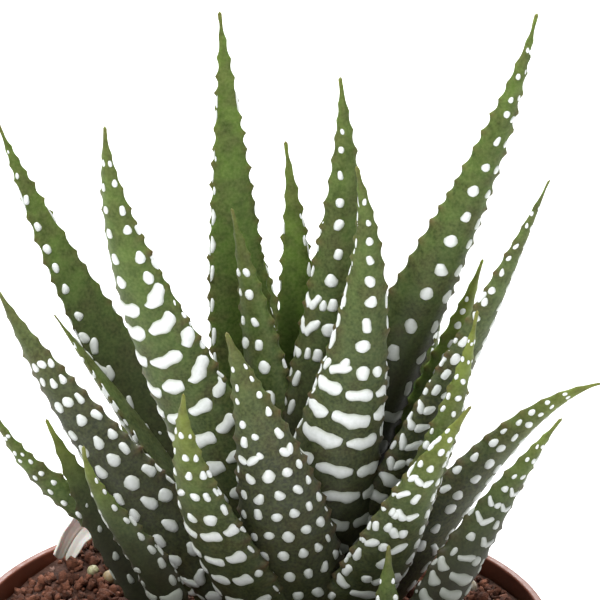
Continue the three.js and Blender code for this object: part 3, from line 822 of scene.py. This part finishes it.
# %% The pot's skin
FLOOR_UNDER, FLOOR_OVER = (28, 0), (28.1, 1.6)  # radius and height where floor and wall meet
POT_CORNERS = [  # radius, height and reach of the rounding
    (*FLOOR_UNDER, 0), (29, 1, 0.6), (40.7, 61.6, 0.8), (42.1, 63, 0.8), (42.1, 74.1, 0.1),
    (42.35, 74.1, 0.1), (42.5, 74.55, 0.2), (42.3, 75, 0.25), (41.2, 75, 0.4),
    (41.2, 63.35, 0.8), (39.8, 61.95, 0.8), (*FLOOR_OVER, 0),
]
POT_HEIGHT, POT_SIDES = 75, 192
DRAIN_COUNT, DRAIN_RADIUS, DRAIN_CIRCLE = 6, 3, 20
WEDGE_STEPS, WEDGE_RINGS = 16, 7  # points along a wedge's straight side, and rings to its hole


# %% Rounding and turning a profile
def rounded_profile(corners, steps=6):
    """A profile whose corners are replaced by the curve (1-t)^2 a + 2t(1-t) c + t^2 b, where a
    and b lie before and after the corner c by its rounding."""
    place = np.array([corner[:2] for corner in corners], float)
    reach = np.array([corner[2] for corner in corners], float)
    t = np.linspace(0, 1, steps)[None, :, None]
    ends = []
    for shift in (1, -1):
        ends.append(place + unit(np.roll(place, shift, 0) - place) * reach[:, None])
    before, after = ends
    curve = (1 - t) ** 2 * before[:, None] + 2 * t * (1 - t) * place[:, None]
    curve = (curve + t**2 * after[:, None]).reshape(-1, 2)
    apart = np.linalg.norm(np.diff(curve, axis=0), axis=1) > 1e-3
    return curve[np.concatenate([[True], apart])]


def turned_wall(profile, sides):
    """Points and quads of a profile turned about Z: x = r cos u, y = r sin u."""
    turn = np.arange(sides) * 2 * math.pi / sides
    radius, height = profile.T[:, :, None]
    points = np.stack([radius * np.cos(turn), radius * np.sin(turn), height + 0 * turn], -1)
    return points.reshape(-1, 3), ring_quads(len(profile), sides)


# %% The floor with its drain holes
def drilled_floor():
    """Points and quads of the floor's two faces and the holes' walls. One wedge is a set of
    closed rings that run from the hole's circle to the wedge's outline, six times over."""
    arc_sides = POT_SIDES // DRAIN_COUNT
    lead = np.arange(WEDGE_STEPS) / WEDGE_STEPS
    spread = math.pi / DRAIN_COUNT
    corners = np.array([math.cos(spread), math.sin(spread)])
    arc = -spread + 2 * spread * np.arange(arc_sides) / arc_sides
    outline = np.concatenate([
        lead[:, None] * corners * (1, -1),
        np.stack([np.cos(arc), np.sin(arc)], -1),
        (1 - lead)[:, None] * corners,
    ])
    hub = np.array([DRAIN_CIRCLE, 0])
    way = outline * FLOOR_UNDER[0] - hub
    hole = hub + DRAIN_RADIUS * way / np.linalg.norm(way, axis=1, keepdims=True)
    share = np.linspace(0, 1, WEDGE_RINGS)[:, None, None]
    faces = []
    for (radius, height), order in ((FLOOR_UNDER, -1), (FLOOR_OVER, 1)):
        flat = hole + share * (outline * radius - hole)
        rings = np.concatenate([flat, np.full((*flat.shape[:2], 1), height)], -1)[::order]
        faces.append(rings)
    rings = np.concatenate([faces[0], faces[1]])  # edge under, hole under, hole over, edge over
    quads = ring_quads(len(rings), len(outline))
    turn = np.arange(DRAIN_COUNT) * 2 * spread
    x, y, z = rings.reshape(-1, 3).T
    points = np.stack([
        np.cos(turn)[:, None] * x - np.sin(turn)[:, None] * y,
        np.sin(turn)[:, None] * x + np.cos(turn)[:, None] * y,
        z + 0 * turn[:, None],
    ], -1).reshape(-1, 3)
    offset = (np.arange(DRAIN_COUNT) * len(x))[:, None, None]
    return points, (quads[None] + offset).reshape(-1, 4)


def welded(points, quads):
    """The same quads with points at one place, to a ten-thousandth of a mm, made into one."""
    keys = np.round(points * 1e4).astype(np.int64)
    _, first, number = np.unique(keys, axis=0, return_index=True, return_inverse=True)
    return points[first], number.reshape(-1)[quads]


# %% Moulded plastic: satin, with fine scuffs and dust that dulls it, darker on the inside of the wall below the lip
pot_plastic, tree, shader = new_material("moulded_plastic", 0.5, 1.5)
dust = patches(tree, 3, 4, 0.45, 0.7, 0.4)
# the inside of the wall is darker from just below the lip down
colour = layered(tree, 0x6C3622, (dust, 0x885946), ("inner_wall_dark", 0x482211))
dulled = add_node(tree, "MapRange", {"Value": dust, "From Max": 0.4, "To Min": 0.45, "To Max": 0.7})
scuffs = bumps(tree, 0.4, 3, 0.15, 0.05)
feed(tree, shader, {
    "Base Color": colour, "Roughness": dulled.outputs["Result"], "Normal": scuffs,
})

# %% Build the pot
# The middle of the wall, as heights and the radii there, parts the inside from the outside.
WALL_MIDDLE = (1, 61.75, 63.2, POT_HEIGHT), (28.55, 40.25, 41.65, 41.65)
DARK_BELOW_LIP = 1.5  # depth below the lip over which the inside darkens
SHARPEST_SMOOTH = math.radians(35)  # sharper edges stay crisp
wall_points, wall_quads = turned_wall(rounded_profile(POT_CORNERS), POT_SIDES)
floor_points, floor_quads = drilled_floor()
points, quads = welded(
    np.concatenate([wall_points, floor_points]),
    np.concatenate([wall_quads, floor_quads + len(wall_points)]),
)
radius = np.hypot(points[:, 0], points[:, 1])
inside = (radius < np.interp(points[:, 2], *WALL_MIDDLE)) & (points[:, 2] > WALL_MIDDLE[0][0])
depth = np.clip((POT_HEIGHT - points[:, 2]) / DARK_BELOW_LIP, 0, 1)
pot_parts = [(points, quads, np.zeros((0, 3), int), 0)]
pot = add_piece("pot_moulding", pot_parts, [pot_plastic], {"inner_wall_dark": inside * depth})
pot.data.set_sharp_from_angle(angle=SHARPEST_SMOOTH)
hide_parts("pot")
print("pot faces:", len(pot.data.polygons))

# %% [markdown]
# ## The soil
# Potting soil is peat with bark and coconut fibre. Its surface is a heap of crumbs from one
# millimetre to four, dark where damp and paler where dry, with a stray fibre between them. The
# frame's soil body stays as the ground below. The crumbs lie over it along a sunflower spiral,
# which leaves no bare patch, each a little off its place. Each is a small blunt lump of a few
# dozen faces, pressed in by nearly half, since nobody sees their undersides.

# %% Soil and what lies in it
SOIL_TOP, SOIL_BUMP, SOIL_RADIUS = 72.3, 0.35, 40.4
SOIL_WAVES = [  # turn a millimetre along x and y, turn at the centre, share of the height
    (0.42, 0.37, 1, 0.5), (0.42, -0.37, 1, 0.5), (0.9, -0.7, 0, 0.6), (-0.3, -1.1, math.pi / 2, 0.4),
]
MOUND = dict(x=-23, y=30, height=3, radius=9)
BEADS = [  # x, y, diameter, colour
    (-21.5, 25, 2.3, 0xC9C7BD), (-25, 22, 1.8, 0xB4B58B),
    (-22.5, 20.5, 2.1, 0x9A835E), (31, 18, 2.2, 0xC2BDB0),
]
# Places that stay bare, as x, y and radius: the stems, the dead leaf's foot and the beads.
BARE = [(rosette["x"], rosette["y"], 4.5) for rosette in ROSETTES.values()] + [(-30, 23.5, 0.6)]
BARE += [(x, y, diameter * 0.5) for x, y, diameter, _ in BEADS]


# %% The ground's height
def soil_height(x, y):
    """Height of the soil's surface: crossed waves s sin(ax + by + c), and a mound
    h exp(-(d / r)^2)."""
    swell = sum(share * np.sin(x * a + y * b + start) for a, b, start, share in SOIL_WAVES)
    away = np.hypot(x - MOUND["x"], y - MOUND["y"])
    return SOIL_TOP + SOIL_BUMP * swell + MOUND["height"] * bell(away, MOUND["radius"])


# %% Lumps
def turned_frames(count, generator):
    """Random rotations as (count, 3, 3) matrices, from unit quaternions."""
    drawn = generator.normal(size=(4, count))
    w, x, y, z = drawn / np.linalg.norm(drawn, axis=0)
    rows = [
        [1 - 2 * (y * y + z * z), 2 * (x * y - z * w), 2 * (x * z + y * w)],
        [2 * (x * y + z * w), 1 - 2 * (x * x + z * z), 2 * (y * z - x * w)],
        [2 * (x * z - y * w), 2 * (y * z + x * w), 1 - 2 * (x * x + y * y)],
    ]
    return np.moveaxis(np.array(rows), -1, 0)


def lumps(centres, sizes, rings, sides, rough, generator):
    """Blunt lumps: a unit ball in rings, each point pushed in or out by up to `rough`, squeezed
    unevenly along three axes, turned at random, scaled and moved to its centre."""
    rise = np.linspace(-math.pi / 2, math.pi / 2, rings + 2)
    turn = np.arange(sides) * 2 * math.pi / sides
    count = len(centres)
    ball = np.stack([
        np.cos(rise)[:, None] * np.cos(turn),
        np.cos(rise)[:, None] * np.sin(turn),
        np.sin(rise)[:, None] + 0 * turn,
    ], -1)
    push = 1 + generator.uniform(-rough, rough, (count, rings + 2, sides, 1))
    push[:, [0, -1]] = 1
    squeeze = generator.uniform(1 - rough, 1, (count, 1, 1, 3))
    shape = np.einsum("nrsi,nji->nrsj", ball * push * squeeze, turned_frames(count, generator))
    placed = centres[:, None, None] + shape * sizes[:, None, None, None]
    return loft(placed[:, 1:-1], placed[:, 0].mean(1), placed[:, -1].mean(1))


# %% Peat: crumbly and matt, dark where it is damp, paler and redder where it has dried
peat, tree, shader = new_material("peat_crumbs", 0.92, 1.4)
shade = add_node(tree, "Attribute", attribute_name="shade").outputs["Fac"]
dry = add_node(tree, "MapRange", {"Value": shade, "From Min": 0, "From Max": 0.9})
palest = add_node(tree, "MapRange", {"Value": shade, "From Min": 0.96, "From Max": 0.97})
colour = layered(
    tree, 0x4A2615,
    (dry.outputs["Result"], 0x7C4E3A),
    (palest.outputs["Result"], 0x95776A),
    (patches(tree, 0.9, 4, 0.42, 0.75), 0x2B160D),
)
feed(tree, shader, {"Base Color": colour, "Normal": bumps(tree, 0.35, 4, 1, 0.3)})

# %% Coconut fibre: dry, stiff and straw-brown
fibre, tree, shader = new_material("coconut_fibre", 0.8, 1.5)
colour = layered(tree, 0x6A4630, (patches(tree, 2, 2, 0.35, 0.65), 0x9C7C5C))
feed(tree, shader, {"Base Color": colour})

# %% Scatter the crumbs
CRUMBS = 3500
GOLDEN_TURN = math.pi * (3 - math.sqrt(5))
CRUMB_SEED, CRUMB_STRAY = 28, 0.4  # how far a crumb strays from its place on the spiral
CRUMB_SIZE = 0.42, 1.75, (1.1, 4.2)  # radius: least, what is added at most, and how it spreads
CRUMB_ROOM = 0.7  # share of its radius that a crumb keeps off a bare place
CRUMB_RAISED = 0.2  # height of its centre over the ground, as a share of its radius
CRUMB_REACH = SOIL_RADIUS + 0.4  # no crumb reaches past this circle
CRUMB_ROUGH, CRUMB_RINGS, CRUMB_SIDES = 0.45, 4, 7

generator = np.random.default_rng(CRUMB_SEED)
order = np.arange(CRUMBS) + 0.5
radius, turn = SOIL_RADIUS * np.sqrt(order / CRUMBS), order * GOLDEN_TURN
spots = np.stack([radius * np.cos(turn), radius * np.sin(turn)], -1)
spots = spots + generator.normal(0, CRUMB_STRAY, spots.shape)
least, added, spread = CRUMB_SIZE
size = least + added * generator.beta(*spread, CRUMBS)
keep = np.hypot(*spots.T) + size < CRUMB_REACH
for x, y, room in BARE:
    keep &= np.hypot(*(spots - (x, y)).T) > room + CRUMB_ROOM * size
spots, size = spots[keep], size[keep]
height = soil_height(*spots.T) + CRUMB_RAISED * size
centres = np.concatenate([spots, height[:, None]], -1)
crumb_mesh = lumps(centres, size, CRUMB_RINGS, CRUMB_SIDES, CRUMB_ROUGH, generator)
points_each = len(crumb_mesh[0]) // len(size)
shades = np.repeat(generator.uniform(0, 1, len(size)), points_each)
crumbs = add_piece("soil_crumbs", [(*crumb_mesh, 0)], [peat], {"shade": shades})

# %% Scatter the fibres
FIBRES = 60
FIBRE_RADIUS, FIBRE_STEPS, FIBRE_SIDES = 0.09, 9, 5
FIBRE_REACH, FIBRE_CURL, FIBRE_CIRCLE = (2, 4.5), 1.2, 33  # half length, curl, and where they lie
FIBRE_RAISED = 0.55, 0.5  # the middle over the ground, and the ends over the middle
FIBRE_POINT = 0.1  # how far an end's point stands out

ahead = np.linspace(-1, 1, FIBRE_STEPS)[None]
turn = generator.uniform(0, 2 * math.pi, (FIBRES, 1))
reach = generator.uniform(*FIBRE_REACH, (FIBRES, 1))
curl = generator.uniform(-FIBRE_CURL, FIBRE_CURL, (FIBRES, 1))
spot = FIBRE_CIRCLE * np.sqrt(generator.uniform(0, 1, (FIBRES, 1)))
where = generator.uniform(0, 2 * math.pi, (FIBRES, 1))
x = spot * np.cos(where) + reach * ahead * np.cos(turn) - curl * ahead**2 * np.sin(turn)
y = spot * np.sin(where) + reach * ahead * np.sin(turn) + curl * ahead**2 * np.cos(turn)
line = np.stack([x, y, soil_height(x, y) + FIBRE_RAISED[0] + FIBRE_RAISED[1] * ahead**2], -1)
slope = unit(np.gradient(line, axis=1))
across = unit(np.cross([0, 0, 1], slope))
above = np.cross(slope, across)
around = (np.arange(FIBRE_SIDES) * 2 * math.pi / FIBRE_SIDES)[:, None]
ring = across[:, :, None] * np.cos(around) + above[:, :, None] * np.sin(around)
fibre_rings = line[:, :, None] + FIBRE_RADIUS * ring
first, last = line[:, 0] - FIBRE_POINT * slope[:, 0], line[:, -1] + FIBRE_POINT * slope[:, -1]
fibre_mesh = loft(fibre_rings, first, last)
fibres = add_piece("coconut_fibres", [(*fibre_mesh, 0)], [fibre])
print("crumbs:", len(size), "faces:", len(crumbs.data.polygons) + len(fibres.data.polygons))

# %% [markdown]
# ## Fertiliser beads and the dead leaf
# Four beads of slow-release fertiliser lie in the soil. Each is a hard resin shell, nearly round,
# and they fade from tan to a chalky grey as they empty. The dead leaf at the pot's wall has dried
# to a papery sheet: it is cupped, round at one end, and creased and split into two at the other.
# It is a plain grid bent along its midrib, given its thickness by a Solidify modifier.

# %% Fertiliser shell: hard resin gone chalky
BEAD_RAISED = 0.2  # of the centre over the ground, as a share of the diameter
BEAD_RINGS, BEAD_SIDES, BEAD_ROUGH = 12, 20, 0.02
for number, (x, y, diameter, hex_colour) in enumerate(BEADS, 1):
    shell, tree, shader = new_material(f"resin_shell_{number}", 0.5, 1.5)
    colour = layered(tree, hex_colour, (patches(tree, 0.5, 3, 0.4, 0.65), 0x8F8468))
    feed(tree, shader, {"Base Color": colour})
    centre = np.array([[x, y, soil_height(x, y) + BEAD_RAISED * diameter]])
    mesh = lumps(centre, np.array([diameter / 2]), BEAD_RINGS, BEAD_SIDES, BEAD_ROUGH, generator)
    bead = add_piece(f"bead_shell_{number}", [(*mesh, 0)], [shell])
    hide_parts(f"fertiliser_bead_{number}")

# %% Dead leaf: bleached, papery and matt, letting some light through
dead_skin, tree, shader = new_material("papery_dead_leaf", 0.75, 1.4)
veins = patches(tree, 1.2, 3, 0.35, 0.7)
# low: the lower part's own grey-beige, with painted shade along the crease
colour = layered(tree, 0xFAFAF7, (veins, 0xEDEEE6), ("low", 0xD8D8CC))
through = {"Subsurface Weight": 0.3, "Subsurface Scale": 0.5 * MM}
feed(tree, shader, {"Base Color": colour, **through})

# %% The dead leaf's sheet
DEAD_LEAF = np.array([[-29.6, 24.4, 74.6], [-28.4, 25, 77.2], [-26.8, 26, 79.2], [-24.8, 27, 80.4]])
DEAD_LEAF_WIDTHS = [3.2, 3.8, 4.4, 3.6]
DEAD_LEAF_FACING = np.array([0.3, -1, 0.2])  # where its hollow side looks
DEAD_LEAF_SKIN = 0.4
SPLIT = -0.1  # where the foot splits and the crease runs, -1 to 1 across
SPLIT_DEPTH, SPLIT_WIDTH, CREASE_WIDTH = 0.14, 0.14, 0.1
NICK, NICK_DEPTH, NICK_WIDTH = 0.55, 0.05, 0.08  # in the rounded end
RIPPLE = 0.03  # of its width
CUP, CREASE_DEPTH, VEIN_HEIGHT, TWIST = 0.5, 0.25, 0.012, 0.2
across_count, along_count = 33, 41

# u runs across and v along. Where a line along the leaf starts is set back at the cleft and at
# the corners, and where it ends, by the rounding and the nick. In between t is spread evenly.
u, v = np.meshgrid(np.linspace(-1, 1, across_count), np.linspace(0, 1, along_count))
cleft = SPLIT_DEPTH * bell(u - SPLIT, SPLIT_WIDTH) + 0.12 * np.maximum(0, np.abs(u) - 0.55)
round_end = 1 - 0.16 * u**2 - NICK_DEPTH * bell(u - NICK, NICK_WIDTH)
t = cleft + v * (round_end - cleft)

# The midrib is the cubic through the four points, and its rate of change gives the direction.
knots = np.arange(4) / 3
bend = np.linalg.solve(np.vander(knots, 4), DEAD_LEAF)
spine = np.vander(t.reshape(-1), 4) @ bend
rate = unit(np.vander(t.reshape(-1), 4)[:, 1:] * (3, 2, 1) @ bend[:3])
front = unit(DEAD_LEAF_FACING - rate * (rate @ DEAD_LEAF_FACING)[:, None])

# The margins ripple. The sheet is lifted at its margins, pressed in along the crease, veined by
# a fine cosine and twisted towards its end.
half = np.interp(t, knots, DEAD_LEAF_WIDTHS) / 2 * (1 + RIPPLE * np.sin(14 * v + 2 * u))
crease = bell(u - SPLIT, CREASE_WIDTH) * (1 - v)
cup = CUP * u**2 - CREASE_DEPTH * crease + VEIN_HEIGHT * np.cos(5 * math.pi * u)
cup = cup + TWIST * v * np.sin(2 * u)
points = spine + np.cross(front, rate) * (half * u).reshape(-1, 1) + front * cup.reshape(-1, 1)
row, column = np.mgrid[0 : along_count - 1, 0 : across_count - 1]
near = row * across_count + column
quads = np.stack([near, near + 1, near + 1 + across_count, near + across_count], -1).reshape(-1, 4)
dead_parts = [(points, quads, np.zeros((0, 3), int), 0)]
# greyer low down, the dead leaf's own grey-beige, and along the crease, which is painted shade
low = np.clip(0.9 - t * 1.5 + crease, 0, 1).reshape(-1)
dead_leaf = add_piece("dead_leaf_sheet", dead_parts, [dead_skin], {"low": low})
solidify = dead_leaf.modifiers.new("skin", "SOLIDIFY")
solidify.thickness = DEAD_LEAF_SKIN * MM
solidify.offset = 0
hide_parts("dead_leaf")

# %% [markdown]
# ## What the frame's own pieces wear
# The stems and the body of the soil keep the frame's plain shapes, since leaves and crumbs cover
# them. The stems are wrapped in the brown remains of old leaf bases.

# %% Stem bark: dull, fibrous and brown
bark, tree, shader = new_material("dry_leaf_bases", 0.85, 1.45)
colour = layered(tree, 0x3A2B1C, (patches(tree, 1.5, 4, 0.35, 0.65), 0x75684A))
feed(tree, shader, {"Base Color": colour})

# %% Damp peat: the ground under the crumbs, dark and matt
damp_peat, tree, shader = new_material("damp_peat", 0.95, 1.4)
colour = layered(tree, 0x2A180F, (patches(tree, 1.6, 4, 0.35, 0.7), 0x51352A))
feed(tree, shader, {"Base Color": colour, "Normal": bumps(tree, 1.2, 4, 1, 0.5)})

# %% Dress the frame's pieces
worn = {f"{name}_stem": bark for name in ROSETTES} | {"soil": damp_peat}
for node, material in worn.items():
    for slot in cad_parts[node].material_slots:
        slot.material = material
print("frame pieces kept:", sorted(worn))
